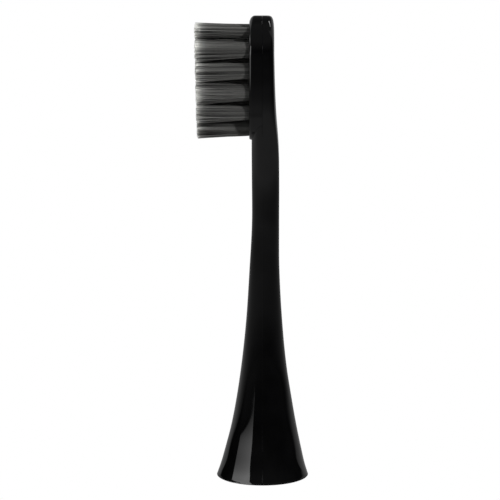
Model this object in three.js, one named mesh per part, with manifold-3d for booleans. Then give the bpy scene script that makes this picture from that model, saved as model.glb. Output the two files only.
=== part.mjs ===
// A replacement brush head for a sonic electric toothbrush: a black moulded body with a flared hollow skirt,
// a slim neck and an oval head, a welded tuft plate that carries oval tufts of filament, and, inside the
// skirt, the socket and the leaf spring that grip the handle's drive shaft.
//
// Millimetres, +Z up along the drive shaft. Bristles point along -X and the head's back faces +X.
// Everything is modelled with the shaft on the Z axis and the skirt's rim on Z = 0, and the whole group is
// then moved along X so that the origin is the centre of the head's footprint.
import * as THREE from "three";
import { mergeVertices } from "three/addons/utils/BufferGeometryUtils.js";
import Module from "manifold-3d";

const wasm = await Module();
wasm.setup();

// ---------------------------------------------------------------- driving dimensions

const HEIGHT = 83;
const RIM_RADIUS = 8.2;
const WALL = 1.25; // the skirt's wall
const CLEARANCE = 0.1; // between pieces that sit in one another
const OVERSHOOT = 1; // how far a cutter runs past the face that it cuts

// Outside of the body: at each height, the front (bristle side) and back in X, the half width in Y, and the
// squareness of the section, where 2 is an ellipse and more is closer to a rectangle.
const SECTIONS = [
  { z: 0, front: -RIM_RADIUS, back: RIM_RADIUS, side: RIM_RADIUS, square: 2 },
  { z: 2, front: -7.5, back: 7.59, side: 7.55, square: 2 },
  { z: 5, front: -6.66, back: 6.92, side: 6.76, square: 2 },
  { z: 9, front: -5.64, back: 6.1, side: 5.84, square: 2 },
  { z: 14, front: -4.69, back: 5.23, side: 4.95, square: 2 },
  { z: 20, front: -3.82, back: 4.3, side: 4.06, square: 2 },
  { z: 28, front: -2.97, back: 3.52, side: 3.27, square: 2.05 },
  { z: 38, front: -2.32, back: 2.98, side: 2.8, square: 2.15 },
  { z: 46, front: -1.91, back: 2.93, side: 2.69, square: 2.2 },
  { z: 54, front: -1.93, back: 2.93, side: 2.88, square: 2.4 },
  { z: 60, front: -1.97, back: 2.82, side: 3.97, square: 3 },
  { z: 66, front: -1.97, back: 2.38, side: 5.4, square: 4.4 },
  { z: 71, front: -1.97, back: 2.15, side: 5.78, square: 5.6 },
  { z: 76.6, front: -1.97, back: 2.01, side: 5.8, square: 6 },
];
const BODY_SIDES = 48;
const RING_STEP = 2; // height between the body's rings
const END_RINGS = 8; // rings round the head's rounded end
const END_START = SECTIONS.at(-1).z;
const END_LENGTH = HEIGHT - END_START;
const END_ANGLE = 1.47; // radians: the end closes on a small flat instead of a line
const END_BACK_LEAN = 0.25; // how far the back leans in at the very top

// The tuft plate, which is the front half of the head.
const SEAM_X = -0.1; // the joint between body and plate, on the widest line of the head
const PLATE_FACE_X = -2.38;
const PLATE_LOW = 61.0; // the plate's lower end
const PLATE_SHOULDER = 66.4; // where its rounded lower end meets the head's sides
const EDGE = [
  // the rounded front edge: X, how far the outline steps in there, and how much more it does at the top
  { x: -1.7, inset: 0, top: 0 },
  { x: -2.05, inset: 0.1, top: 0.3 },
  { x: -2.28, inset: 0.28, top: 0.6 },
  { x: PLATE_FACE_X, inset: 0.5, top: 0.9 },
];
const POCKET_INSET = 0.7; // the weld land round the pocket behind the plate
const POCKET_LOW_INSET = 0.3; // the same at its lower end
const POCKET_DEPTH = 0.85;
const PLATE_GAP = 0.25; // between the plate's sides and the body
const ARC_STEPS = 8; // in each quarter of the plate's outline
const SIDE_STEP = 2; // height between the points on its sides

// Tufts, row by row from the top: height, columns across, half length and half width of the hole, and how
// much further up the inner tufts reach than the outer ones, so that the gaps do not line up through
// the head. The top row bows down to its sides, after the head's rounded end.
const TUFT_ROWS = [
  { z: 80.55, columns: [-2.2, 0, 2.2], half: [0.82, 0.88], innerReach: 0 },
  { z: 77.5, columns: [-3.75, -1.25, 1.25, 3.75], half: [1.3, 1], innerReach: 0 },
  { z: 73.75, columns: [-3.75, -1.25, 1.25, 3.75], half: [1.34, 1], innerReach: 0.6 },
  { z: 69.95, columns: [-3.75, -1.25, 1.25, 3.75], half: [1.38, 1], innerReach: 0.6 },
  { z: 66.3, columns: [-3.5, -1.2, 1.2, 3.5], half: [1.2, 0.95], innerReach: 0.6 },
  { z: 63.2, columns: [-1.3, 1.3], half: [1.3, 0.98], innerReach: 0 },
];
const INNER_COLUMNS = 2; // the tufts nearer to the middle than this are the inner ones
const TOP_ROW_BOW = 0.03; // drop per square of the distance from the middle
const TUFT_SIDES = 14;
const TUFT_SQUARE = 2.6;
const BRISTLE_LENGTH = 9.72; // out of the plate, on the top row
const TRIM_SLOPE = 0.022; // the tips are trimmed along a line that comes in towards the neck
const TUFT_FLARE = [0.28, 0.16]; // how much wider a tuft is at its tips than in its hole, along Z and Y
const TIP_ROUNDING = 0.7;
const BUTT_THICKNESS = 0.5; // the fused filament ends behind the plate
const BUTT_LIP = 0.12;

// The socket for the drive shaft, a sleeve with a D bore on a flange, with fins up to the body's wall.
const SOCKET_FACE_Z = 5.2; // its flange, which meets the handle's collar
const FLANGE_RADIUS = 4.95;
const FLANGE_TOP = 6.6;
const SLEEVE_RADIUS = 2.75;
const SLEEVE_TOP = 20;
const BORE_RADIUS = 2.0;
const BORE_FLAT_X = -1.45; // the flat of the D, on the bristle side
const BORE_SIDES = 32;
const BORE_LEAD_IN = 0.4;
const SHAFT_END_Z = 26.5; // the shaft's tip stops here, in the body above the sleeve
const SLEEVE_CHAMFER = 0.35;
const FIN_HEIGHTS = [8.3, 10, 11.7, 13.4]; // the heights where a fin's edge follows the cavity's wall
const FIN_THICKNESS = 1;
const FIN_GAP = 0.2;
const FIN_ANGLES = [90, 180, 270];
const EMBED = 0.3; // how far joined shapes run into each other

// The leaf spring that presses on the shaft, in a window of the sleeve on the back side.
const SPRING_THICKNESS = 0.25;
const SPRING_WIDTH = 2.3;
const SPRING_PATH = [
  [2.55, 7.2],
  [2.55, 8.6],
  [2.38, 10.4],
  [1.93, 12.2],
  [2.16, 13.5],
  [2.62, 14.6],
];
const SPRING_SLOT = [2.3, 2.9]; // X of the slot that holds its root
const SPRING_SIDE_GAP = 0.15;
const SPRING_HOUSING_X = 3.35;
const SPRING_HOUSING_WALL = 0.6;
const SPRING_HOUSING_TOP = 9;
const WINDOW_X = 1; // the window opens the sleeve from here outwards
const WINDOW_TOP = 15.6;
const RELIEF_X = 3.65; // the body's own wall is hollowed out to here, so that the leaf can spring back
const RELIEF_TOP = 16.2;
const RELIEF_HALF_WIDTH = 1.6;

// ---------------------------------------------------------------- shapes

// A surface through rings of the same number of points, closed by a fan at each end. The rings run
// anticlockwise when seen from the end that they are stacked towards.
function loft(rings) {
  const count = rings[0].length;
  const points = rings.flat();
  const index = [];
  for (let ring = 0; ring < rings.length - 1; ring++) {
    for (let i = 0; i < count; i++) {
      const a = ring * count + i;
      const b = ring * count + ((i + 1) % count);
      index.push(a, b, b + count, a, b + count, a + count);
    }
  }
  const last = (rings.length - 1) * count;
  const first = points.push(middle(rings[0])) - 1;
  const end = points.push(middle(rings.at(-1))) - 1;
  for (let i = 0; i < count; i++) {
    const next = (i + 1) % count;
    index.push(first, next, i);
    index.push(end, last + i, last + next);
  }
  return new THREE.BufferGeometry().setFromPoints(points).setIndex(index);
}

function middle(ring) {
  return ring.reduce((sum, p) => sum.add(p), new THREE.Vector3()).divideScalar(ring.length);
}

// A point on a rounded rectangle of half sizes a and b, at angle t.
function superellipse(t, a, b, square) {
  const power = 2 / square;
  const c = Math.cos(t);
  const s = Math.sin(t);
  return [a * Math.sign(c) * Math.abs(c) ** power, b * Math.sign(s) * Math.abs(s) ** power];
}

function ringOf(count, place) {
  return Array.from({ length: count }, (_, i) => new THREE.Vector3(...place((2 * Math.PI * i) / count)));
}

function solid(geometry) {
  const bare = geometry.clone();
  bare.deleteAttribute("normal");
  bare.deleteAttribute("uv");
  const merged = mergeVertices(bare, 1e-4);
  return new wasm.Manifold(
    new wasm.Mesh({
      numProp: 3,
      vertProperties: merged.attributes.position.array,
      triVerts: new Uint32Array(merged.index.array),
    }),
  );
}

function geometryOf(manifold) {
  const { vertProperties, triVerts } = manifold.getMesh();
  const geometry = new THREE.BufferGeometry();
  geometry.setAttribute("position", new THREE.BufferAttribute(vertProperties, 3));
  geometry.setIndex(new THREE.BufferAttribute(triVerts, 1));
  geometry.computeVertexNormals();
  return geometry;
}

// A solid of revolution about Z. Its outline of [radius, height] points starts on the axis at the bottom and
// ends on the axis at the top.
function turned(outline, sides = BODY_SIDES) {
  const profile = outline.map(([radius, height]) => new THREE.Vector2(radius, height));
  return solid(new THREE.LatheGeometry(profile, sides).rotateX(Math.PI / 2));
}

// A box between its lowest and its highest corner.
function block(low, high) {
  const size = high.map((value, axis) => value - low[axis]);
  const centre = high.map((value, axis) => (value + low[axis]) / 2);
  return solid(new THREE.BoxGeometry(...size).translate(...centre));
}

function piece(name, geometry, material) {
  const mesh = new THREE.Mesh(geometry, material);
  mesh.name = name;
  return mesh;
}

// ---------------------------------------------------------------- materials

const blackPlastic = new THREE.MeshStandardMaterial({ color: 0x0b0b0c, roughness: 0.12, metalness: 0 });
const socketPlastic = new THREE.MeshStandardMaterial({ color: 0xd9d8d2, roughness: 0.5, metalness: 0 });
const springSteel = new THREE.MeshStandardMaterial({ color: 0xb8bcc0, roughness: 0.3, metalness: 1 });
const filament = new THREE.MeshStandardMaterial({ color: 0x3c3c3e, roughness: 0.55, metalness: 0 });

// ---------------------------------------------------------------- the body's outer form

const sectionAt = new THREE.CubicInterpolant(
  SECTIONS.map((s) => s.z),
  SECTIONS.flatMap((s) => [s.front, s.back, s.side, s.square]),
  4,
);

function section(z) {
  const [front, back, side, square] = sectionAt.evaluate(Math.min(z, END_START));
  return { front, back, side, square };
}

function bodyRing(z, { front, back, side, square }) {
  return ringOf(BODY_SIDES, (t) => {
    const [x, y] = superellipse(t, (back - front) / 2, side, square);
    return [(front + back) / 2 + x, y, z];
  });
}

function outerForm() {
  const rings = [];
  for (let z = 0; z < END_START; z += RING_STEP) rings.push(bodyRing(z, section(z)));
  const head = section(END_START);
  for (let i = 0; i <= END_RINGS; i++) {
    const t = (i / END_RINGS) * END_ANGLE;
    const back = head.back - END_BACK_LEAN * Math.sin(t) ** 4;
    const side = head.side * Math.cos(t);
    rings.push(bodyRing(END_START + END_LENGTH * Math.sin(t), { ...head, back, side }));
  }
  return solid(loft(rings));
}

// The plate's outline in the YZ plane, stepped in by inset, by top more at the upper end, and by low at the
// lower end.
function plateOutline(inset, top = 0, low = inset) {
  const rise = END_LENGTH - inset - top;
  const drop = PLATE_SHOULDER - PLATE_LOW - low;
  const quarter = Array.from({ length: ARC_STEPS + 1 }, (_, i) => (i / ARC_STEPS) * (Math.PI / 2));
  const half = [];
  for (const t of quarter) {
    half.push([(section(END_START).side - inset) * Math.sin(t), END_START + rise * Math.cos(t)]);
  }
  for (let z = END_START - SIDE_STEP; z > PLATE_SHOULDER + SIDE_STEP / 2; z -= SIDE_STEP) {
    half.push([section(z).side - inset, z]);
  }
  for (const t of quarter) {
    half.push([(section(PLATE_SHOULDER).side - inset) * Math.cos(t), PLATE_SHOULDER - drop * Math.sin(t)]);
  }
  const mirrored = half.slice(1, -1).reverse();
  return [...half, ...mirrored.map(([y, z]) => [-y, z])];
}

function plateRing(x, inset, top, low) {
  return plateOutline(inset, top, low).map(([y, z]) => new THREE.Vector3(x, y, z));
}

// ---------------------------------------------------------------- body

// The wall follows the outside, which is nearer to the shaft on the bristle side.
function cavityRadius(z) {
  return Math.max(-section(z).front - WALL, SLEEVE_RADIUS + CLEARANCE);
}

// Everything the skirt is hollow for: the handle's collar, the socket's flange, fins and sleeve, and the
// shaft's tip.
function skirtCavity() {
  const seat = FLANGE_RADIUS + CLEARANCE;
  const seatTop = FLANGE_TOP + CLEARANCE;
  const sleeveEnd = SLEEVE_TOP + CLEARANCE;
  const outline = [
    [0, -OVERSHOOT],
    [RIM_RADIUS - WALL, -OVERSHOOT],
    [RIM_RADIUS - WALL, 0],
    [seat, SOCKET_FACE_Z],
    [seat, seatTop],
  ];
  for (let z = seatTop; z < SLEEVE_TOP; z += RING_STEP) outline.push([cavityRadius(z), z]);
  outline.push([SLEEVE_RADIUS + CLEARANCE, sleeveEnd]);
  outline.push([BORE_RADIUS, sleeveEnd]);
  outline.push([BORE_RADIUS, SHAFT_END_Z]);
  outline.push([0, SHAFT_END_Z]);
  return turned(outline);
}

function headBody() {
  const plateSpace = loft([
    plateRing(SEAM_X + CLEARANCE / 2, -PLATE_GAP),
    plateRing(PLATE_FACE_X - OVERSHOOT, -PLATE_GAP),
  ]);
  const pocket = loft([
    plateRing(SEAM_X + POCKET_DEPTH, POCKET_INSET, 0, POCKET_LOW_INSET),
    plateRing(SEAM_X - OVERSHOOT, POCKET_INSET, 0, POCKET_LOW_INSET),
  ]);
  const springRelief = block(
    [BORE_RADIUS, -RELIEF_HALF_WIDTH, SPRING_HOUSING_TOP],
    [RELIEF_X, RELIEF_HALF_WIDTH, RELIEF_TOP],
  );
  return outerForm()
    .subtract(solid(plateSpace))
    .subtract(solid(pocket))
    .subtract(skirtCavity())
    .subtract(springRelief);
}

// ---------------------------------------------------------------- tuft plate and tufts

// An oval across a tuft at x, as large as its hole, and by grow larger along Z and Y.
function tuftRing(x, row, y, grow = [0, 0]) {
  const [halfZ, halfY] = row.half;
  const bow = row === TUFT_ROWS[0] ? TOP_ROW_BOW * y * y : 0;
  const halfReach = Math.abs(y) < INNER_COLUMNS ? row.innerReach / 2 : 0;
  const height = row.z - bow + halfReach;
  return ringOf(TUFT_SIDES, (t) => {
    const [dz, dy] = superellipse(t, halfZ + halfReach + grow[0], halfY + grow[1], TUFT_SQUARE);
    return [x, y + dy, height + dz];
  });
}

function tuftPlate() {
  const edge = EDGE.map(({ x, inset, top }) => plateRing(x, inset, top));
  let plate = solid(loft([plateRing(SEAM_X - CLEARANCE / 2, 0), ...edge]));
  for (const row of TUFT_ROWS) {
    for (const y of row.columns) {
      const [back, front] = [SEAM_X + OVERSHOOT, PLATE_FACE_X - OVERSHOOT];
      plate = plate.subtract(solid(loft([tuftRing(back, row, y), tuftRing(front, row, y)])));
    }
  }
  return plate;
}

// One bundle of filaments, from its fused butt behind the plate to its trimmed and rounded tips.
function tuft(row, y) {
  const buttFront = SEAM_X + CLEARANCE / 2;
  const tip = PLATE_FACE_X - BRISTLE_LENGTH + TRIM_SLOPE * (TUFT_ROWS[0].z - row.z);
  const shank = [-CLEARANCE / 2, -CLEARANCE / 2];
  const butt = [BUTT_LIP, BUTT_LIP];
  const flared = (share) => TUFT_FLARE.map((flare) => flare * share);
  return loft([
    tuftRing(buttFront + BUTT_THICKNESS, row, y, butt),
    tuftRing(buttFront, row, y, butt),
    tuftRing(buttFront, row, y, shank),
    tuftRing(PLATE_FACE_X, row, y, shank),
    tuftRing((PLATE_FACE_X + tip) / 2, row, y, flared(0.5)),
    tuftRing(tip + TIP_ROUNDING, row, y, flared(1)),
    tuftRing(tip, row, y, flared(-1)),
  ]);
}

// ---------------------------------------------------------------- drive socket

function shaftBore() {
  const outline = [
    [0, SOCKET_FACE_Z - OVERSHOOT],
    [BORE_RADIUS + BORE_LEAD_IN, SOCKET_FACE_Z - OVERSHOOT],
    [BORE_RADIUS + BORE_LEAD_IN, SOCKET_FACE_Z],
    [BORE_RADIUS, SOCKET_FACE_Z + BORE_LEAD_IN],
    [BORE_RADIUS, SLEEVE_TOP + OVERSHOOT],
    [0, SLEEVE_TOP + OVERSHOOT],
  ];
  const flat = block(
    [-SLEEVE_RADIUS, -SLEEVE_RADIUS, SOCKET_FACE_Z + BORE_LEAD_IN],
    [BORE_FLAT_X, SLEEVE_RADIUS, SLEEVE_TOP + 2 * OVERSHOOT],
  );
  return turned(outline, BORE_SIDES).subtract(flat);
}

// A fin from the sleeve out to the cavity's wall, drawn in the XZ plane and turned about the shaft.
function fin(angle) {
  const inner = SLEEVE_RADIUS - EMBED;
  const outline = new THREE.Shape();
  outline.moveTo(inner, FLANGE_TOP - EMBED);
  for (const z of [FLANGE_TOP - EMBED, ...FIN_HEIGHTS]) outline.lineTo(cavityRadius(z) - FIN_GAP, z);
  outline.lineTo(inner, FIN_HEIGHTS.at(-1));
  const plate = new THREE.ExtrudeGeometry(outline, { depth: FIN_THICKNESS, bevelEnabled: false });
  plate.translate(0, 0, -FIN_THICKNESS / 2).rotateX(Math.PI / 2);
  return solid(plate.rotateZ(THREE.MathUtils.degToRad(angle)));
}

function driveSocket() {
  let socket = turned([
    [0, SOCKET_FACE_Z],
    [FLANGE_RADIUS, SOCKET_FACE_Z],
    [FLANGE_RADIUS, FLANGE_TOP],
    [SLEEVE_RADIUS, FLANGE_TOP],
    [SLEEVE_RADIUS, SLEEVE_TOP - SLEEVE_CHAMFER],
    [SLEEVE_RADIUS - SLEEVE_CHAMFER, SLEEVE_TOP],
    [0, SLEEVE_TOP],
  ]);
  for (const angle of FIN_ANGLES) socket = socket.add(fin(angle));

  const halfSlot = SPRING_WIDTH / 2 + SPRING_SIDE_GAP;
  const halfHousing = halfSlot + SPRING_HOUSING_WALL;
  const slotFloor = SPRING_PATH[0][1] - CLEARANCE;
  const housing = block(
    [SLEEVE_RADIUS - EMBED, -halfHousing, FLANGE_TOP - EMBED],
    [SPRING_HOUSING_X, halfHousing, SPRING_HOUSING_TOP],
  );
  const slot = block([SPRING_SLOT[0], -halfSlot, slotFloor], [SPRING_SLOT[1], halfSlot, WINDOW_TOP]);
  const window = block(
    [WINDOW_X, -halfSlot, SPRING_HOUSING_TOP],
    [SPRING_HOUSING_X + OVERSHOOT, halfSlot, WINDOW_TOP],
  );
  return socket.add(housing).subtract(slot).subtract(window).subtract(shaftBore());
}

// ---------------------------------------------------------------- retaining spring

function retainingSpring() {
  const path = new THREE.CatmullRomCurve3(SPRING_PATH.map(([x, z]) => new THREE.Vector3(x, 0, z)));
  const strip = new THREE.Shape();
  const [halfThick, halfWide] = [SPRING_THICKNESS / 2, SPRING_WIDTH / 2];
  strip.moveTo(-halfWide, -halfThick);
  strip.lineTo(halfWide, -halfThick);
  strip.lineTo(halfWide, halfThick);
  strip.lineTo(-halfWide, halfThick);
  return new THREE.ExtrudeGeometry(strip, { steps: 24, extrudePath: path });
}

// ---------------------------------------------------------------- assembly

const head = new THREE.Group();
head.add(piece("head_body", geometryOf(headBody()), blackPlastic));
head.add(piece("tuft_plate", geometryOf(tuftPlate()), blackPlastic));
TUFT_ROWS.forEach((row, i) => {
  row.columns.forEach((y, j) => {
    head.add(piece(`tuft_${i + 1}${"abcd"[j]}`, tuft(row, y), filament));
  });
});
head.add(piece("drive_socket", geometryOf(driveSocket()), socketPlastic));
head.add(piece("retaining_spring", retainingSpring(), springSteel));

const bristleReach = BRISTLE_LENGTH - PLATE_FACE_X;
head.position.x = (bristleReach - RIM_RADIUS) / 2;

export default head;
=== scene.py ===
"""Looks of a black sonic toothbrush head: smooth moulded shells, real filaments and procedural materials, built
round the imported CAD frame. Shapes are worked out in millimetres with the drive shaft's axis on x = 0 and the
skirt's rim on z = 0, then placed in the frame in metres."""

import math

import bmesh
import bpy
import numpy as np
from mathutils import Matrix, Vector


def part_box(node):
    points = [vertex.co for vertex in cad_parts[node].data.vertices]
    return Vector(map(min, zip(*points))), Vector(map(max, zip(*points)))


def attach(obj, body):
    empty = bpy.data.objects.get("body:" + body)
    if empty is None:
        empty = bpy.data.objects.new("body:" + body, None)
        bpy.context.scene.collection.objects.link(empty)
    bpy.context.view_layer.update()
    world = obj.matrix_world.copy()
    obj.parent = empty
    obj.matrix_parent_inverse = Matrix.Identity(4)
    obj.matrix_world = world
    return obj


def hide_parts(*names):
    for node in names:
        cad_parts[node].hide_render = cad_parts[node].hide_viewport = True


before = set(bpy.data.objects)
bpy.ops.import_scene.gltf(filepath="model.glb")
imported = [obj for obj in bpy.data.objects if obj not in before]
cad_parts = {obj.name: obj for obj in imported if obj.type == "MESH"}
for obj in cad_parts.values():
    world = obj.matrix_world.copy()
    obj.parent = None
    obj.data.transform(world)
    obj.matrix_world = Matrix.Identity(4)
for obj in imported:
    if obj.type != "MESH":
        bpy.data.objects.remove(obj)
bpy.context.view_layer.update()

MM = 0.001
TAU = 2 * math.pi
SHAFT_X = (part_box("drive_socket")[0].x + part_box("drive_socket")[1].x) / 2 / MM
RANDOM = np.random.default_rng(23)
MERGE_DISTANCE = 0.0005  # points nearer than this, in millimetres, are one point
SMOOTH_ANGLE = 35  # edges sharper than this, in degrees, stay sharp

# ------------------------------------------------------------------ sizes of the shells, in millimetres

# At each height: the front (bristle side) and back along X, the half width along Y, and the squareness of the
# section, where 2 is an ellipse and more is closer to a rectangle. These are the CAD body's own sections.
SECTIONS = [
    # z, front, back, side, squareness
    (0, -8.2, 8.2, 8.2, 2),
    (2, -7.5, 7.59, 7.55, 2),
    (5, -6.66, 6.92, 6.76, 2),
    (9, -5.64, 6.1, 5.84, 2),
    (14, -4.69, 5.23, 4.95, 2),
    (20, -3.82, 4.3, 4.06, 2),
    (28, -2.97, 3.52, 3.27, 2.05),
    (38, -2.32, 2.98, 2.8, 2.15),
    (46, -1.91, 2.93, 2.69, 2.2),
    (54, -1.93, 2.93, 2.88, 2.4),
    (60, -1.97, 2.82, 3.97, 3),
    (66, -1.97, 2.38, 5.4, 4.4),
    (71, -1.97, 2.15, 5.78, 5.6),
    (76.6, -1.97, 2.01, 5.8, 6),
]
END_START = SECTIONS[-1][0]
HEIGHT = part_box("tuft_plate")[1].z / MM
END_LENGTH = HEIGHT - END_START
RING_STEP = 0.45
ARC_SAMPLES = 900  # worked out on each quarter of a ring
RING_POINTS = 44  # and kept
END_STEPS = 64  # round the head's end

RIM_FILLET = 0.09
RIM_INSIDE_ANGLES = [0, 30, 60, 90]
RIM_OUTSIDE_ANGLES = [0, 22, 45, 68]
RIM_WALL = 1.25

# The skirt's inside, from the rim up: a recess that narrows to the socket's seat, a cone round its fins, a space
# round its sleeve and the end of the bore.
RECESS_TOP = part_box("drive_socket")[0].z / MM
RECESS_STEPS = 8
SEAT_RADIUS = 5.05
SEAT_TOP = 6.7
SEAT_LEDGE = 0.25
CONE_END = 13
SLEEVE_SPACE = 3.35
SLEEVE_END = 20.1
BORE_RADIUS = 2.0
BORE_END = 26.5
RELIEF = ((BORE_RADIUS, -1.6, 9), (3.65, 1.6, 16.2))  # the room that the leaf spring bends into

# The mould's parting line runs up both sides of the skirt and neck as a fine ridge, and meets the seam between
# the head's two halves, which is a fine groove.
PARTING_X = 0.0
RIDGE_HEIGHT = 0.026
RIDGE_WIDTH = 0.06
SEAM_X = -0.1
SEAM_GAP = 0.015
SEAM_ROUNDING = 0.04
SEAM_ANGLES = [30, 60, 90]
PARTING_END = 57
SEAM_START = 61
RIDGE_FADE = 3  # the ridge sinks in over this length below its end
GROOVE_FADE = 2  # the groove deepens over this length above its start
LINE_OFFSETS = [0.3, 0.22, 0.16, 0.12, 0.09, 0.06, 0.04, 0.02, 0]  # points beside the line

# The tuft plate.
PLATE_FACE_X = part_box("tuft_plate")[0].x / MM - SHAFT_X
PLATE_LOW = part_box("tuft_plate")[0].z / MM
PLATE_SHOULDER = 66.4
PLATE_END_SAMPLES = 240
PLATE_SIDE_SAMPLES = 120
PLATE_SMOOTHING = 60  # passes that round off the corners of the outline
PLATE_POINTS = 90  # on half of the outline
PLATE_TOP_TURN = (0.45, 0.98)  # the outline's upward lean where its top begins and where it is all top
PLATE_EDGE_STEPS = 15
PLATE_EDGE_START = (-1.9, -1.35)  # the front edge starts to round here at the sides and at the top
PLATE_EDGE_INSET = (0.32, 1.45)  # and ends this far in on the plate's face
PLATE_SUPPORT = 0.03  # keeps the shading flat next to a rounded edge
PLATE_GAP = 0.05
PLUG_INSET = 0.75  # the plate's back stands in a pocket of the body
PLUG_DEPTH = 0.8
HOLE_DEPTH = 0.9
HOLE_CHAMFER = 0.08
HOLE_SQUARE = 2.6
HOLE_POINTS = 48
CUT_PAST = 1  # how far a cutter goes past the face it cuts

# The CAD pieces in the skirt get rounded edges.
SOCKET_ROUNDING = 0.12
SPRING_ROUNDING = 0.04
ROUNDING_SEGMENTS = 2
ROUNDING_ANGLE = 40  # degrees

# ------------------------------------------------------------------ sizes of the tufts, in millimetres

TUFT_ROWS = [
    # z, columns along Y, half height, half width, how much further up the inner tufts reach
    (80.55, [-2.2, 0, 2.2], 0.82, 0.88, 0),
    (77.5, [-3.75, -1.25, 1.25, 3.75], 1.3, 1, 0),
    (73.75, [-3.75, -1.25, 1.25, 3.75], 1.34, 1, 0.6),
    (69.95, [-3.75, -1.25, 1.25, 3.75], 1.38, 1, 0.6),
    (66.3, [-3.5, -1.2, 1.2, 3.5], 1.2, 0.95, 0.6),
    (63.2, [-1.3, 1.3], 1.3, 0.98, 0),
]
INNER_COLUMNS = 2  # the tufts nearer to the middle than this are the inner ones
TOP_ROW_BOW = 0.03  # the top row's outer tufts stand lower, by this times the square of their Y
BRISTLE_LENGTH = 9.72
TRIM_SLOPE = 0.022  # how much shorter the tufts get for each millimetre down
FILAMENT_RADIUS = 0.088
FILAMENT_PITCH = 0.2
FILAMENT_SIDES = 6
ROOT_JITTER = 0.018
ROOT_GAP = 0.1  # between the filaments' feet and the bottom of their hole
SHAFT_RINGS = [0, 2.5, 4.5]  # heights above the plate
TAPER_LENGTH = 1.8
TAPER_RINGS = 6
TAPER_POWER = 0.8
TIP_RADIUS_SHARE = 0.5
TIP_DOME = 0.03
TIP_DOME_SHARE = 0.45
# How far the filaments of each row lean out at their tips, up and down.
FLARES = [(0.0, 0.26), (0.5, 0.85), (0.0, 0.5), (0.3, 0.75), (0.0, 0.75), (0.1, 0.5)]
FLARE_SIDE = 0.25
BEND = 0.07  # each filament's own bend
STRAY_BEND = 0.32
STRAY_SHARE = 0.05
CLUMPS = 34  # bundles that bend together in each tuft
CLUMP_BEND = 0.17
LENGTH_DROP = 0.06  # each filament is up to this much shorter than its tuft's full length
LENGTH_SPREAD = 0.07  # and shorter again by a bell curve this wide
CLUMP_SPREAD = 0.06  # with its whole clump by another
EDGE_DROP = 0.3  # and by this at the very edge of its tuft
EDGE_POWER = 6
LEAST_DROP = 0.02
OWN_SHADE = 0.45  # how much of a filament's shade is its own; the rest is its clump's

# ------------------------------------------------------------------ helpers


def placed(points):
    """Points in millimetres about the shaft, as metres in the frame."""
    return (np.asarray(points, float) + (SHAFT_X, 0, 0)) * MM


def new_object(name, points, faces):
    mesh = bpy.data.meshes.new(name)
    mesh.from_pydata(placed(points).tolist(), [], faces)
    mesh.validate()
    thing = bpy.data.objects.new(name, mesh)
    bpy.context.scene.collection.objects.link(thing)
    return thing


def tidy_mesh(thing):
    """Merges the points that coincide and turns every face outwards."""
    mesh = bmesh.new()
    mesh.from_mesh(thing.data)
    bmesh.ops.remove_doubles(mesh, verts=mesh.verts, dist=MERGE_DISTANCE * MM)
    bmesh.ops.recalc_face_normals(mesh, faces=mesh.faces)
    mesh.to_mesh(thing.data)
    mesh.free()


def smooth(thing):
    thing.data.shade_smooth()
    thing.data.set_sharp_from_angle(angle=math.radians(SMOOTH_ANGLE))


def strip_faces(rings, count):
    """Quads between rings of count points each, one after another."""
    faces = []
    for ring in range(rings - 1):
        for i in range(count):
            a = ring * count + i
            b = ring * count + (i + 1) % count
            faces.append((a, b, b + count, a + count))
    return faces


def loft(name, rings):
    """A closed solid through rings of the same number of points."""
    count = len(rings[0])
    faces = strip_faces(len(rings), count)
    faces.append(tuple(range(count - 1, -1, -1)))
    faces.append(tuple(range((len(rings) - 1) * count, len(rings) * count)))
    thing = new_object(name, np.concatenate(rings), faces)
    tidy_mesh(thing)
    return thing


def carve(thing, cutters):
    """Cuts the solids away from thing, and deletes them."""
    for cutter in cutters:
        modifier = thing.modifiers.new("carve", "BOOLEAN")
        modifier.operation = "DIFFERENCE"
        modifier.solver = "EXACT"
        modifier.object = cutter
    graph = bpy.context.evaluated_depsgraph_get()
    cut = bpy.data.meshes.new_from_object(thing.evaluated_get(graph))
    thing.modifiers.clear()
    thing.data = cut
    for cutter in cutters:
        bpy.data.objects.remove(cutter)


def block(name, low, high):
    (x0, y0, z0), (x1, y1, z1) = low, high
    square = [(x0, y0), (x1, y0), (x1, y1), (x0, y1)]
    return loft(name, [np.array([(x, y, z) for x, y in square]) for z in (z0, z1)])


def superellipse(angle, a, b, square):
    c, s = np.cos(angle), np.sin(angle)
    power = 2 / square
    return a * np.sign(c) * np.abs(c) ** power, b * np.sign(s) * np.abs(s) ** power


def resampled(points, count):
    """count points along a line, closer together where it turns."""
    steps = np.diff(points, axis=0)
    lengths = np.hypot(steps[:, 0], steps[:, 1])
    turning = np.abs(np.diff(np.unwrap(np.arctan2(steps[:, 1], steps[:, 0])), prepend=np.nan))
    turning[0] = 0
    total = max(turning.sum(), 1e-9)
    measure = np.concatenate([[0], np.cumsum(lengths / lengths.sum() + turning / total)])
    at = np.linspace(0, measure[-1], count)
    return np.column_stack([np.interp(at, measure, points[:, axis]) for axis in (0, 1)])


# ------------------------------------------------------------------ the body's outline


def section(z):
    """Front, back, half width and squareness at a height, on a smooth curve through the sections."""
    table = np.array(SECTIONS, float)
    heights, values = table[:, 0], table[:, 1:]
    slopes = np.diff(values, axis=0) / np.diff(heights)[:, None]
    tangents = np.vstack([slopes[:1], (slopes[1:] + slopes[:-1]) / 2, slopes[-1:]])
    z = min(max(z, heights[0]), heights[-1])
    k = min(int(np.searchsorted(heights, z, side="right")) - 1, len(heights) - 2)
    h = heights[k + 1] - heights[k]
    t = (z - heights[k]) / h
    start = (1 + 2 * t) * (1 - t) ** 2 * values[k] + t * (1 - t) ** 2 * h * tangents[k]
    end = t * t * (3 - 2 * t) * values[k + 1] + t * t * (t - 1) * h * tangents[k + 1]
    return start + end


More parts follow.
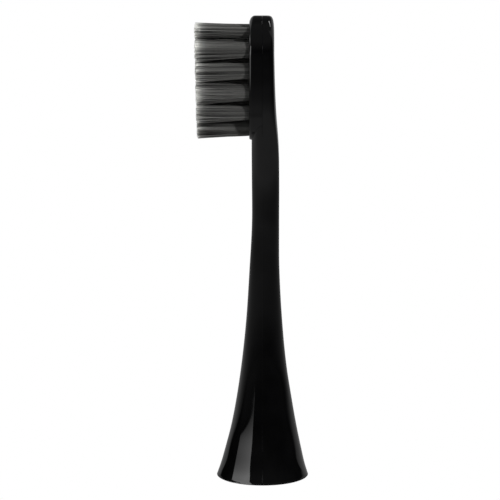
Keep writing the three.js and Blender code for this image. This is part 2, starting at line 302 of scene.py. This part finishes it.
def smoothstep(value, low, high):
    t = np.clip((value - low) / (high - low), 0, 1)
    return t * t * (3 - 2 * t)


def line_height(z, offset):
    """How far the side stands out beside the parting line: a ridge on the neck, a groove on the head."""
    ridge = RIDGE_HEIGHT * (1 - smoothstep(z, PARTING_END - RIDGE_FADE, PARTING_END))
    groove = -SEAM_ROUNDING * smoothstep(z, SEAM_START, SEAM_START + GROOVE_FADE)
    ridge_shape = math.exp(-((offset / RIDGE_WIDTH) ** 2))
    groove_shape = math.exp(-((offset / SEAM_GAP) ** 2))
    return ridge * ridge_shape + groove * groove_shape


def half_ring(z):
    """The section at a height as x, y points on its +Y side, from the back round to the front."""
    front, back, side, square = section(z)
    centre, half = (front + back) / 2, (back - front) / 2
    line_x = PARTING_X + (SEAM_X - PARTING_X) * smoothstep(z, PARTING_END, SEAM_START)
    band = LINE_OFFSETS[0]

    def width(x):
        return side * (1 - abs((x - centre) / half) ** square) ** (1 / square)

    def arc(start, stop):
        angles = [math.acos(np.clip(((x - centre) / half), -1, 1)) for x in (start, stop)]
        turns = [math.acos(math.copysign(abs(math.cos(a)) ** (square / 2), math.cos(a))) for a in angles]
        x, y = superellipse(np.linspace(*turns, ARC_SAMPLES), half, side, square)
        return resampled(np.column_stack([centre + x, y]), RING_POINTS)

    offsets = LINE_OFFSETS[1:] + [-o for o in LINE_OFFSETS[-2:0:-1]]
    line = [(line_x + o, width(line_x + o) + line_height(z, o)) for o in offsets]
    return np.vstack([arc(back, line_x + band), line, arc(line_x - band, front)])


def full_ring(half, z):
    """Both sides of a half ring, at a height."""
    other = half[-2:0:-1] * (1, -1)
    ring = np.vstack([half, other])
    return np.column_stack([ring, np.full(len(ring), z)])


def rim_rings(unit):
    """The rim and the inside of the skirt, from the deep end of the bore out to the rim's outer edge."""
    wall = SECTIONS[0][2] - RIM_WALL
    profile = [(BORE_RADIUS, BORE_END), (BORE_RADIUS, SLEEVE_END), (SLEEVE_SPACE, SLEEVE_END)]
    profile += [(SLEEVE_SPACE, CONE_END), (SEAT_RADIUS - SEAT_LEDGE, SEAT_TOP), (SEAT_RADIUS, SEAT_TOP)]
    profile += [(SEAT_RADIUS, RECESS_TOP)]
    for share in np.linspace(0, 1, RECESS_STEPS + 1)[1:-1]:
        z = RECESS_TOP * (1 - share)
        profile.append((SEAT_RADIUS + (wall - SEAT_RADIUS) * share, z))
    for angle in np.radians(RIM_INSIDE_ANGLES):
        profile.append((wall + RIM_FILLET * (1 - math.cos(angle)), RIM_FILLET * (1 - math.sin(angle))))
    outer = SECTIONS[0][2]
    for angle in np.radians(RIM_OUTSIDE_ANGLES):
        inset = RIM_FILLET * (1 - math.sin(angle))
        profile.append((outer - inset, RIM_FILLET * (1 - math.cos(angle))))
    return [np.column_stack([unit * r, np.full(len(unit), z)]) for r, z in profile]


def body_shell():
    """The skirt, neck and back half of the head as one closed smooth surface, before the plate is let in."""
    rings = []
    for z in np.arange(RIM_FILLET, END_START, RING_STEP):
        rings.append(full_ring(half_ring(z), z))
    last = half_ring(END_START)
    rings.append(full_ring(last, END_START))
    unit = rings[0][:, :2] / np.hypot(rings[0][:, 0], rings[0][:, 1])[:, None]
    rings = rim_rings(unit) + rings

    count = len(rings[0])
    points = np.concatenate(rings)
    faces = strip_faces(len(rings), count)
    faces.append(tuple(range(count - 1, -1, -1)))

    # The end of the head turns the last section about the line where it starts.
    stretch = END_LENGTH / section(END_START)[2]
    first = len(points)
    steps = []
    for angle in np.linspace(0, math.pi, END_STEPS + 1):
        reach = last[:, 1]
        heights = END_START + reach * math.sin(angle) * stretch
        steps.append(np.column_stack([last[:, 0], reach * math.cos(angle), heights]))
    across = len(last)
    for k in range(END_STEPS):
        for j in range(across - 1):
            a = first + k * across + j
            faces.append((a, a + 1, a + 1 + across, a + across))
    thing = new_object("head_shell", np.vstack([points, *steps]), faces)
    tidy_mesh(thing)
    return thing


# ------------------------------------------------------------------ the tuft plate's outline


def plate_outline():
    """The plate's outline in Y and Z, from its top round its +Y side and back up the other."""
    quarter = np.linspace(0, math.pi / 2, PLATE_END_SAMPLES)
    top_side = section(END_START)[2]
    low_side = section(PLATE_SHOULDER)[2]
    top = [(top_side * math.sin(t), END_START + END_LENGTH * math.cos(t)) for t in quarter]
    heights = np.linspace(END_START, PLATE_SHOULDER, PLATE_SIDE_SAMPLES)[1:-1]
    sides = [(section(z)[2], z) for z in heights]
    drop = PLATE_SHOULDER - PLATE_LOW
    low = [(low_side * math.cos(t), PLATE_SHOULDER - drop * math.sin(t)) for t in quarter]
    half = np.array(top + sides + low)
    for _ in range(PLATE_SMOOTHING):
        half[1:-1] = (half[:-2] + 2 * half[1:-1] + half[2:]) / 4
    half = resampled(half, PLATE_POINTS)
    return np.vstack([half, half[-2:0:-1] * (-1, 1)])


def inward(outline):
    """The unit normals that point into a closed outline."""
    along = np.roll(outline, -1, axis=0) - np.roll(outline, 1, axis=0)
    along /= np.hypot(along[:, 0], along[:, 1])[:, None]
    normals = np.column_stack([along[:, 1], -along[:, 0]])
    centre = outline.mean(axis=0)
    flip = np.sign(((centre - outline) * normals).sum(axis=1).sum())
    return normals * flip


def plate_ring(x, inset):
    """The plate's outline moved inwards by inset and put at x; each is one number or one for each point."""
    outline = plate_outline()
    moved = outline + inward(outline) * np.broadcast_to(inset, len(outline))[:, None]
    return np.column_stack([np.broadcast_to(x, len(moved)), moved])


def topness():
    """0 for the outline's sides and low end, rising to 1 at its top."""
    outline = plate_outline()
    return smoothstep(-inward(outline)[:, 1], *PLATE_TOP_TURN)


def tuft_places():
    for number, (z, columns, half_z, half_y, inner_reach) in enumerate(TUFT_ROWS, 1):
        for letter, y in zip("abcd", columns):
            bow = TOP_ROW_BOW * y * y if number == 1 else 0
            half_reach = inner_reach / 2 if abs(y) < INNER_COLUMNS else 0
            yield f"tuft_{number}{letter}", y, z - bow + half_reach, half_y, half_z + half_reach


def hole_cutter(y, z, half_y, half_z):
    angles = np.linspace(0, TAU, HOLE_POINTS, endpoint=False)
    rings = []
    for x, grow in [
        (PLATE_FACE_X - CUT_PAST, HOLE_CHAMFER),
        (PLATE_FACE_X, HOLE_CHAMFER),
        (PLATE_FACE_X + HOLE_CHAMFER, 0),
        (PLATE_FACE_X + HOLE_DEPTH, 0),
    ]:
        dy, dz = superellipse(angles, half_y + grow, half_z + grow, HOLE_SQUARE)
        rings.append(np.column_stack([np.full(HOLE_POINTS, x), y + dy, z + dz]))
    return loft("cutter", rings)


def plate_shell():
    back_x = SEAM_X - SEAM_GAP / 2
    rings = [plate_ring(SEAM_X + PLUG_DEPTH, PLUG_INSET), plate_ring(back_x, PLUG_INSET)]
    rings.append(plate_ring(back_x, SEAM_ROUNDING))
    for angle in np.radians(SEAM_ANGLES):
        inset = SEAM_ROUNDING * (1 - math.sin(angle))
        rings.append(plate_ring(back_x - SEAM_ROUNDING * (1 - math.cos(angle)), inset))
    rings.append(plate_ring(back_x - SEAM_ROUNDING - PLATE_SUPPORT, 0))
    top = topness()
    start = PLATE_EDGE_START[0] + (PLATE_EDGE_START[1] - PLATE_EDGE_START[0]) * top
    reach = PLATE_EDGE_INSET[0] + (PLATE_EDGE_INSET[1] - PLATE_EDGE_INSET[0]) * top
    rings.append(plate_ring(start + PLATE_SUPPORT, 0))
    for angle in np.radians(np.linspace(0, 90, PLATE_EDGE_STEPS)):
        x = start + (PLATE_FACE_X - start) * math.sin(angle)
        rings.append(plate_ring(x, reach * (1 - math.cos(angle))))
    rings.append(plate_ring(PLATE_FACE_X, reach + PLATE_SUPPORT))
    thing = loft("plate_shell", rings)
    carve(thing, [hole_cutter(*place[1:]) for place in tuft_places()])
    return thing


# ------------------------------------------------------------------ filaments


def packed_roots(half_y, half_z):
    """Filament centres packed into an oval hole, as Y and Z offsets."""
    room_y, room_z = half_y - FILAMENT_RADIUS, half_z - FILAMENT_RADIUS
    rows = round(room_z / (FILAMENT_PITCH * math.sqrt(3) / 2))
    roots = []
    for row in range(-rows, rows + 1):
        z = room_z * row / rows
        width = room_y * (1 - abs(z / half_z) ** HOLE_SQUARE) ** (1 / HOLE_SQUARE)
        across = max(round(2 * width / FILAMENT_PITCH), 1)
        roots += [(y, z) for y in np.linspace(-width, width, across + 1)]
    roots = np.array(roots)
    return roots + RANDOM.uniform(-ROOT_JITTER, ROOT_JITTER, roots.shape)


def filament_tuft(name, y, z, half_y, half_z):
    """A bundle of tapered filaments, each a closed tube from inside its hole to its rounded tip."""
    roots = packed_roots(half_y, half_z)
    count = len(roots)
    share = roots / (half_y, half_z)
    length = BRISTLE_LENGTH - TRIM_SLOPE * (TUFT_ROWS[0][0] - z)

    centres = RANDOM.uniform(-1, 1, (CLUMPS, 2))
    clump = ((share[:, None, :] - centres) ** 2).sum(axis=2).argmin(axis=1)
    clump_bend = RANDOM.normal(0, CLUMP_BEND, (CLUMPS, 2))
    clump_drop = np.abs(RANDOM.normal(0, CLUMP_SPREAD, CLUMPS))
    clump_shade = RANDOM.uniform(0, 1, CLUMPS)

    row = int(name[len("tuft_")])
    up, down = FLARES[row - 1]
    lean = np.where(share[:, 1] > 0, share[:, 1] * up, share[:, 1] * down)
    flare = np.column_stack([share[:, 0] * FLARE_SIDE, lean])
    stray = RANDOM.uniform(0, 1, count) < STRAY_SHARE
    own = RANDOM.normal(0, 1, (count, 2)) * np.where(stray, STRAY_BEND, BEND)[:, None]
    bend = own + clump_bend[clump]
    drop = EDGE_DROP * np.clip(np.abs(share).max(axis=1), 0, 1) ** EDGE_POWER
    spread = np.abs(RANDOM.normal(0, LENGTH_SPREAD, count)) + clump_drop[clump]
    shorter = drop + spread + LENGTH_DROP * RANDOM.uniform(0, 1, count)
    lengths = length - np.clip(shorter, LEAST_DROP, None)

    angles = np.linspace(0, TAU, FILAMENT_SIDES, endpoint=False)
    circle = np.column_stack([np.cos(angles), np.sin(angles)])
    rings = []
    for height in [ROOT_GAP - HOLE_DEPTH, *SHAFT_RINGS]:
        rings.append((np.full(count, float(height)), 1.0))
    for taper in np.linspace(1, 0, TAPER_RINGS):
        radius = TIP_RADIUS_SHARE + (1 - TIP_RADIUS_SHARE) * taper**TAPER_POWER
        rings.append((lengths - TAPER_LENGTH * taper, radius))
    rings.append((lengths + TIP_DOME, TIP_RADIUS_SHARE * TIP_DOME_SHARE))

    vertices = np.zeros((count, len(rings), FILAMENT_SIDES, 3))
    for k, (reach, radius) in enumerate(rings):
        s = np.clip(reach / length, 0, 1)[:, None]
        centre = roots + flare * s + bend * s**2
        vertices[:, k, :, 0] = (PLATE_FACE_X - reach)[:, None]
        vertices[:, k, :, 1:] = centre[:, None, :] + FILAMENT_RADIUS * radius * circle
    vertices[..., 1] += y
    vertices[..., 2] += z

    per = len(rings) * FILAMENT_SIDES
    pattern = [tuple(reversed(f)) for f in strip_faces(len(rings), FILAMENT_SIDES)]
    pattern.append(tuple(range(FILAMENT_SIDES)))
    pattern.append(tuple(range(per - 1, per - FILAMENT_SIDES - 1, -1)))
    faces = [tuple(i + n * per for i in face) for n in range(count) for face in pattern]
    thing = new_object(name + "_filaments", vertices.reshape(-1, 3), faces)
    shade = thing.data.attributes.new("strand", "FLOAT", "POINT")
    shades = OWN_SHADE * RANDOM.uniform(0, 1, count) + (1 - OWN_SHADE) * clump_shade[clump]
    shade.data.foreach_set("value", np.repeat(shades, per))
    thing.data.shade_smooth()
    return thing


# ------------------------------------------------------------------ materials

NOISE_RANGE = (0.3, 0.7)  # the values of a noise that take a material from one of its ends to the other

# Lightness of a filament at shares of its length, from the plate to its tip. The darker first stop is painted
# shade at the root; the paling towards the tip is partly the thin nylon's own and partly painted light shining
# through the tapered ends.
NYLON_TONE_PAINTED_SHADE_AND_LIGHT = [
    (0.0, 0.08),
    (0.05, 0.1),
    (0.66, 0.1),
    (0.72, 0.11),
    (0.78, 0.13),
    (0.84, 0.21),
    (0.88, 0.34),
    (0.92, 0.55),
    (0.96, 0.85),
    (1.0, 1.0),
]
NYLON_BLUE = 0.96  # the blue's share of the lightness, which warms the tips
# Each filament's own shade makes it darker or paler, weakly near the plate and strongly near the tips.
STRAND_RANGE = (0.15, 0.85)
STREAK_WEAK = (0.5, 1.5)
STREAK_STRONG = (0.15, 1.95)
STREAK_GROWS = (0.35, 0.75)  # shares of the length


def new_material(name):
    material = bpy.data.materials.new(name)
    material.use_nodes = True
    nodes = material.node_tree.nodes
    return material, nodes, material.node_tree.links, nodes["Principled BSDF"]


def noise_at(nodes, links, coordinates, scale, detail=2.0, stretch=(1, 1, 1)):
    """Noise in object space: scale is features per metre."""
    mapping = nodes.new("ShaderNodeMapping")
    mapping.inputs["Scale"].default_value = stretch
    noise = nodes.new("ShaderNodeTexNoise")
    noise.inputs["Scale"].default_value = scale
    noise.inputs["Detail"].default_value = detail
    links.new(coordinates.outputs["Object"], mapping.inputs["Vector"])
    links.new(mapping.outputs["Vector"], noise.inputs["Vector"])
    return noise


def ranged(nodes, links, source, low, high, to_low, to_high):
    node = nodes.new("ShaderNodeMapRange")
    node.inputs["From Min"].default_value = low
    node.inputs["From Max"].default_value = high
    node.inputs["To Min"].default_value = to_low
    node.inputs["To Max"].default_value = to_high
    links.new(source, node.inputs["Value"])
    return node.outputs["Result"]


def ramp(nodes, links, source, stops):
    node = nodes.new("ShaderNodeValToRGB")
    elements = node.color_ramp.elements
    while len(elements) < len(stops):
        elements.new(0.5)
    for element, (position, colour) in zip(elements, stops):
        element.position = position
        element.color = (*colour, 1)
    links.new(source, node.inputs["Fac"])
    return node.outputs["Color"]


def bumped(nodes, links, height, shader, strength, distance):
    bump = nodes.new("ShaderNodeBump")
    bump.inputs["Strength"].default_value = strength
    bump.inputs["Distance"].default_value = distance
    links.new(height, bump.inputs["Height"])
    links.new(bump.outputs["Normal"], shader.inputs["Normal"])


def coloured(nodes, links, noise, shades, shader):
    stops = zip(NOISE_RANGE, shades)
    colour = ramp(nodes, links, noise.outputs["Fac"], list(stops))
    links.new(colour, shader.inputs["Base Color"])


def roughened(nodes, links, noise, roughness, shader):
    rough = ranged(nodes, links, noise.outputs["Fac"], *NOISE_RANGE, *roughness)
    links.new(rough, shader.inputs["Roughness"])


def gloss_black():
    """Polished black plastic: faint haze, and the shallow waves of a moulded wall."""
    material, nodes, links, shader = new_material("gloss_black")
    coordinates = nodes.new("ShaderNodeTexCoord")
    haze = noise_at(nodes, links, coordinates, 260, 3)
    wave = noise_at(nodes, links, coordinates, 150, 1)
    coloured(nodes, links, haze, [(0.001, 0.001, 0.0011), (0.0022, 0.0022, 0.0024)], shader)
    roughened(nodes, links, haze, (0.03, 0.06), shader)
    shader.inputs["IOR"].default_value = 1.5
    bumped(nodes, links, wave.outputs["Fac"], shader, 0.12, 0.00004)
    return material


def nylon():
    """Charcoal filament with painted shade at its root that pales towards its tapered tip, partly as painted
    light through the thin ends, with streaks that are stronger out there.
    """
    material, nodes, links, shader = new_material("charcoal_nylon")
    coordinates = nodes.new("ShaderNodeTexCoord")
    split = nodes.new("ShaderNodeSeparateXYZ")
    links.new(coordinates.outputs["Object"], split.inputs["Vector"])
    face = (PLATE_FACE_X + SHAFT_X) * MM
    tip = face - BRISTLE_LENGTH * MM
    along = ranged(nodes, links, split.outputs["X"], face, tip, 0, 1)
    stops = [(at, (shade, shade, shade * NYLON_BLUE)) for at, shade in NYLON_TONE_PAINTED_SHADE_AND_LIGHT]
    # The ramp paints shade at the root and light through the tips into the base colour.
    colour = ramp(nodes, links, along, stops)
    strand = nodes.new("ShaderNodeAttribute")
    strand.attribute_name = "strand"
    strong = ranged(nodes, links, strand.outputs["Fac"], *STRAND_RANGE, *STREAK_STRONG)
    weak = ranged(nodes, links, strand.outputs["Fac"], *STRAND_RANGE, *STREAK_WEAK)
    blend = nodes.new("ShaderNodeMix")
    links.new(ranged(nodes, links, along, *STREAK_GROWS, 0, 1), blend.inputs["Factor"])
    links.new(weak, blend.inputs["A"])
    links.new(strong, blend.inputs["B"])
    mix = nodes.new("ShaderNodeVectorMath")
    mix.operation = "SCALE"
    links.new(colour, mix.inputs[0])
    links.new(blend.outputs["Result"], mix.inputs["Scale"])
    links.new(mix.outputs["Vector"], shader.inputs["Base Color"])
    shader.inputs["Roughness"].default_value = 0.38
    return material


def acetal():
    """Natural white acetal: satin, fine-grained and slightly translucent."""
    material, nodes, links, shader = new_material("natural_acetal")
    coordinates = nodes.new("ShaderNodeTexCoord")
    grain = noise_at(nodes, links, coordinates, 1400, 3)
    flow = noise_at(nodes, links, coordinates, 220, 2, (1, 1, 0.25))
    coloured(nodes, links, flow, [(0.6, 0.585, 0.54), (0.68, 0.67, 0.63)], shader)
    roughened(nodes, links, grain, (0.38, 0.52), shader)
    shader.inputs["Subsurface Weight"].default_value = 0.15
    shader.inputs["Subsurface Radius"].default_value = (0.0008, 0.0007, 0.0006)
    bumped(nodes, links, grain.outputs["Fac"], shader, 0.15, 0.00002)
    return material


def rolled_steel():
    """Bright strip steel with fine rolling lines along the leaf."""
    material, nodes, links, shader = new_material("rolled_steel")
    coordinates = nodes.new("ShaderNodeTexCoord")
    lines = noise_at(nodes, links, coordinates, 900, 4, (1, 6, 0.15))
    coloured(nodes, links, lines, [(0.5, 0.51, 0.52), (0.66, 0.67, 0.68)], shader)
    roughened(nodes, links, lines, (0.22, 0.36), shader)
    shader.inputs["Metallic"].default_value = 1
    bumped(nodes, links, lines.outputs["Fac"], shader, 0.1, 0.00001)
    return material


def dress(thing, material):
    thing.data.materials.clear()
    thing.data.materials.append(material)


# ------------------------------------------------------------------ build

BLACK = gloss_black()
NYLON = nylon()

body = body_shell()
plate_space = loft("cutter", [
    plate_ring(SEAM_X + SEAM_GAP / 2, -PLATE_GAP),
    plate_ring(PLATE_FACE_X - CUT_PAST, -PLATE_GAP),
])
pocket = loft("cutter", [
    plate_ring(SEAM_X + PLUG_DEPTH + PLATE_GAP, PLUG_INSET - PLATE_GAP),
    plate_ring(SEAM_X - CUT_PAST, PLUG_INSET - PLATE_GAP),
])
relief = block("cutter", *RELIEF)
carve(body, [plate_space, pocket, relief])
smooth(body)
dress(body, BLACK)
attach(body, "brush_head")
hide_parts("head_body")

plate = plate_shell()
smooth(plate)
dress(plate, BLACK)
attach(plate, "brush_head")
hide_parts("tuft_plate")

for tuft_name, *place in tuft_places():
    tuft = filament_tuft(tuft_name, *place)
    dress(tuft, NYLON)
    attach(tuft, "brush_head")
    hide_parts(tuft_name)

for node, material, width in (
    ("drive_socket", acetal(), SOCKET_ROUNDING),
    ("retaining_spring", rolled_steel(), SPRING_ROUNDING),
):
    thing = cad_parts[node]
    bevel = thing.modifiers.new("rounded edges", "BEVEL")
    bevel.width = width * MM
    bevel.segments = ROUNDING_SEGMENTS
    bevel.limit_method = "ANGLE"
    bevel.angle_limit = math.radians(ROUNDING_ANGLE)
    bevel.harden_normals = True
    smooth(thing)
    dress(thing, material)

# ------------------------------------------------------------------ stage, lights and camera

CAMERA_DISTANCE = 0.6
CAMERA_ELEVATION = 11.07
CAMERA_AIM = Vector((-0.0003, 0, 0.0411))
CAMERA_LENS = 242.9
SENSOR_WIDTH = 36
WHITE = (1, 1, 1, 1)

# The floor is plain white to the camera. What the plastic mirrors of it is a pool of light that dims with the
# distance from the object, in metres.
FLOOR_RADIUS = 0.8
FLOOR_FORWARD = 0.45  # the disc's centre is this far in front of the object
FLOOR_HEIGHT = -0.0001  # just under the rim
FLOOR_POINTS = 96
FLOOR_POOL = [(0.0, 0.23), (0.14, 0.22), (0.19, 0.16), (0.25, 0.11), (0.36, 0.06), (0.5, 0.038), (1.2, 0.02)]
FLOOR_LEAN = (1.75, 0.65)  # brighter on the left
FLOOR_LEAN_REACH = 0.35  # on either side

# The room, in degrees and strengths. Azimuths are counted from the camera's side towards -X, and a pair of
# numbers is for the right and for the left.
SIDES_BLEND = 0.3  # radians over which right turns into left
ROOM_DARK = 0.014
CEILING = 0.12
CEILING_HEIGHTS = (8, 35)  # the ceiling brightens between these elevations
CEILING_BEHIND = 0.5  # its share behind the object
CEILING_TURN = (-0.4, -0.05)  # from behind to in front, as the cosine of the azimuth
HORIZON_GLOW = (0.015, 0.05)  # just above the floor's edge
HORIZON_TURN = 1  # radians over which the glow grows
HORIZON_TOP = 5
HORIZON_ENDS = (-0.2, 0.2)  # only in front, as the cosine of the azimuth
BACKDROP_EDGE = 133  # where the backdrop starts, at the height of the object
BACKDROP_TURN = 5  # it reaches this much further forward on the right than on the left
BACKDROP_SPREAD = 1.45  # and this much further forward for each degree upwards
BACKDROP_SOFTNESS = 4
BACKDROP_TOP = (16, 8)  # its height straight behind
BACKDROP_RISE = 0.35  # how much higher it gets for each degree towards its edges
BACKDROP_FALL = 8  # it fades out over this height
BACKDROP_GLOW = (0.26, 0.25)

# The main softbox is a flat panel at the left front. Its corners are seen from just above the floor under the
# object, as azimuth and elevation.
WINDOW_DISTANCE = 0.21
WINDOW_EYE_HEIGHT = 0.005
WINDOW_FACING = (60, 12)
WINDOW_CORNERS = [
    (40, 5.8),
    (38, 10),
    (35, 17),
    (27, 34),
    (58, 34),
    (63, 23),
    (79, 17.5),
    (85, 13),
    (85, 5.8),
]
WINDOW_FADE = (0.025, 0.072)  # the heights over which the panel brightens
WINDOW_GLOW = (0.25, 3.1)

# The other lights are rectangles aimed at the head. The bristles' own lights aren't mirrored in the plastic.
LIGHT_AIM = Vector((0, 0, 0.07))
LIGHTS = [
    # name, azimuth, elevation, distance, width, height, radiance, mirrored
    ("bristle_key", -43, 18, 0.5, 0.05, 0.05, 215, False),
    ("bristle_fill", 40, 12, 0.5, 0.3, 0.3, 1.5, False),
    ("bristle_tips", 120, 35, 0.5, 0.3, 0.3, 2.5, False),
    ("edge_light", 85, 24, 0.3, 0.2, 0.1, 2.6, True),
    ("spark", -130, 66, 0.6, 0.3, 0.08, 5, True),
]


def math_node(nodes, links, operation, first, second=None):
    node = nodes.new("ShaderNodeMath")
    node.operation = operation
    for socket, value in zip(node.inputs, (first, second)):
        if value is None:
            continue
        if isinstance(value, (int, float)):
            socket.default_value = value
        else:
            links.new(value, socket)
    return node.outputs["Value"]


def blank_nodes(owner):
    """An empty node tree for a world or a material."""
    owner.use_nodes = True
    owner.node_tree.nodes.clear()
    return owner.node_tree.nodes, owner.node_tree.links


def flat_mesh(name, corners):
    """One flat face as a new object."""
    mesh = bpy.data.meshes.new(name)
    mesh.from_pydata(corners, [], [tuple(range(len(corners)))])
    thing = bpy.data.objects.new(name, mesh)
    bpy.context.scene.collection.objects.link(thing)
    return thing


def white_to_camera(nodes, links, lit, output):
    """Shows plain white to the camera and the lit shader to every other ray."""
    white = nodes.new(lit.bl_idname)
    white.inputs["Color"].default_value = WHITE
    path = nodes.new("ShaderNodeLightPath")
    mix = nodes.new("ShaderNodeMixShader")
    links.new(path.outputs["Is Camera Ray"], mix.inputs["Fac"])
    links.new(lit.outputs[0], mix.inputs[1])
    links.new(white.outputs[0], mix.inputs[2])
    links.new(mix.outputs["Shader"], output.inputs["Surface"])


def studio_world():
    """A dark room in front, a dim ceiling, and a paler backdrop that wraps round behind, wider higher up."""
    world = bpy.data.worlds.new("studio")
    bpy.context.scene.world = world
    nodes, links = blank_nodes(world)
    coordinates = nodes.new("ShaderNodeTexCoord")
    split = nodes.new("ShaderNodeSeparateXYZ")
    links.new(coordinates.outputs["Generated"], split.inputs["Vector"])
    x, y, z = (split.outputs[axis] for axis in "XYZ")
    left = math_node(nodes, links, "MULTIPLY", x, -1.0)
    front = math_node(nodes, links, "MULTIPLY", y, -1.0)
    azimuth = math_node(nodes, links, "ARCTAN2", left, front)
    shifted = math_node(nodes, links, "SUBTRACT", azimuth, math.radians(BACKDROP_TURN))
    turned = math_node(nodes, links, "ABSOLUTE", shifted)
    elevation = math_node(nodes, links, "ARCSINE", z)
    spread = math_node(nodes, links, "MULTIPLY", elevation, BACKDROP_SPREAD)
    past = math_node(nodes, links, "ADD", turned, spread)
    edge, soft = math.radians(BACKDROP_EDGE), math.radians(BACKDROP_SOFTNESS)
    shape = ranged(nodes, links, past, edge - soft, edge + soft, 0, 1)
    behind = math_node(nodes, links, "SUBTRACT", math.pi, turned)
    reach = math_node(nodes, links, "MULTIPLY", behind, BACKDROP_RISE)
    above = math_node(nodes, links, "SUBTRACT", elevation, reach)
    sides = (azimuth, -SIDES_BLEND, SIDES_BLEND)
    top = ranged(nodes, links, *sides, *np.radians(BACKDROP_TOP))
    past_top = math_node(nodes, links, "SUBTRACT", above, top)
    fall = ranged(nodes, links, past_top, 0, math.radians(BACKDROP_FALL), 1, 0)
    side = ranged(nodes, links, *sides, *BACKDROP_GLOW)
    faded = math_node(nodes, links, "MULTIPLY", shape, fall)
    backdrop = math_node(nodes, links, "MULTIPLY", faded, side)
    lift = ranged(nodes, links, elevation, *np.radians(CEILING_HEIGHTS), ROOM_DARK, CEILING)
    away = ranged(nodes, links, front, *CEILING_TURN, CEILING_BEHIND, 1)
    ceiling = math_node(nodes, links, "MULTIPLY", lift, away)
    glow = ranged(nodes, links, azimuth, 0, HORIZON_TURN, *HORIZON_GLOW)
    low = ranged(nodes, links, elevation, 0, math.radians(HORIZON_TOP), 1, 0)
    forward = ranged(nodes, links, front, *HORIZON_ENDS, 0, 1)
    low_glow = math_node(nodes, links, "MULTIPLY", glow, low)
    horizon = math_node(nodes, links, "MULTIPLY", low_glow, forward)
    dim = math_node(nodes, links, "ADD", ceiling, horizon)
    total = math_node(nodes, links, "ADD", backdrop, dim)
    room = nodes.new("ShaderNodeBackground")
    room.inputs["Color"].default_value = WHITE
    links.new(total, room.inputs["Strength"])
    white_to_camera(nodes, links, room, nodes.new("ShaderNodeOutputWorld"))


def floor():
    angles = np.linspace(0, TAU, FLOOR_POINTS, endpoint=False)
    x, y = FLOOR_RADIUS * np.cos(angles), FLOOR_RADIUS * np.sin(angles) - FLOOR_FORWARD
    thing = flat_mesh("floor", np.column_stack([x, y, np.full(FLOOR_POINTS, FLOOR_HEIGHT)]).tolist())
    material = bpy.data.materials.new("pale_floor")
    nodes, links = blank_nodes(material)
    coordinates = nodes.new("ShaderNodeTexCoord")
    distance = nodes.new("ShaderNodeVectorMath")
    distance.operation = "LENGTH"
    links.new(coordinates.outputs["Object"], distance.inputs[0])
    split = nodes.new("ShaderNodeSeparateXYZ")
    links.new(coordinates.outputs["Object"], split.inputs["Vector"])
    reach = FLOOR_POOL[-1][0]
    share = ranged(nodes, links, distance.outputs["Value"], 0, reach, 0, 1)
    pool = ramp(nodes, links, share, [(at / reach, (glow,) * 3) for at, glow in FLOOR_POOL])
    lean = ranged(nodes, links, split.outputs["X"], -FLOOR_LEAN_REACH, FLOOR_LEAN_REACH, *FLOOR_LEAN)
    lit = nodes.new("ShaderNodeEmission")
    lit.inputs["Color"].default_value = WHITE
    links.new(math_node(nodes, links, "MULTIPLY", pool, lean), lit.inputs["Strength"])
    white_to_camera(nodes, links, lit, nodes.new("ShaderNodeOutputMaterial"))
    dress(thing, material)


def direction(azimuth, elevation):
    """azimuth is counted from the camera's side towards -X, both angles in degrees."""
    a, e = math.radians(azimuth), math.radians(elevation)
    return Vector((-math.sin(a) * math.cos(e), -math.cos(a) * math.cos(e), math.sin(e)))


def soft_window():
    """The main softbox, brighter towards its top."""
    eye = Vector((0, 0, WINDOW_EYE_HEIGHT))
    facing = direction(*WINDOW_FACING)
    rays = [direction(*corner) for corner in WINDOW_CORNERS]
    thing = flat_mesh("soft_window", [eye + ray * (WINDOW_DISTANCE / ray.dot(facing)) for ray in rays])
    material = bpy.data.materials.new("soft_window")
    nodes, links = blank_nodes(material)
    coordinates = nodes.new("ShaderNodeTexCoord")
    split = nodes.new("ShaderNodeSeparateXYZ")
    links.new(coordinates.outputs["Object"], split.inputs["Vector"])
    glow = nodes.new("ShaderNodeEmission")
    glow.inputs["Color"].default_value = WHITE
    strength = ranged(nodes, links, split.outputs["Z"], *WINDOW_FADE, *WINDOW_GLOW)
    links.new(strength, glow.inputs["Strength"])
    output = nodes.new("ShaderNodeOutputMaterial")
    links.new(glow.outputs["Emission"], output.inputs["Surface"])
    dress(thing, material)
    thing.visible_camera = False
    thing.visible_diffuse = False


def panel(name, azimuth, elevation, distance, width, height, radiance, mirrored):
    """A rectangular area light aimed at the head."""
    back = direction(azimuth, elevation)
    light = bpy.data.lights.new(name, "AREA")
    light.shape = "RECTANGLE"
    light.size, light.size_y = width, height
    light.energy = radiance * math.pi * width * height
    thing = bpy.data.objects.new(name, light)
    thing.location = LIGHT_AIM + back * distance
    thing.rotation_euler = back.to_track_quat("Z", "Y").to_euler()
    thing.visible_camera = False
    thing.visible_glossy = mirrored
    bpy.context.scene.collection.objects.link(thing)


def camera():
    lens = bpy.data.cameras.new("camera")
    lens.lens = CAMERA_LENS
    lens.sensor_width = SENSOR_WIDTH
    thing = bpy.data.objects.new("camera", lens)
    e = math.radians(CAMERA_ELEVATION)
    back = Vector((0, -math.cos(e), math.sin(e)))
    thing.location = CAMERA_AIM + back * CAMERA_DISTANCE
    thing.rotation_euler = back.to_track_quat("Z", "Y").to_euler()
    bpy.context.scene.collection.objects.link(thing)
    bpy.context.scene.camera = thing


studio_world()
floor()
soft_window()
for light in LIGHTS:
    panel(*light)
camera()
bpy.context.scene.view_settings.view_transform = "Standard"
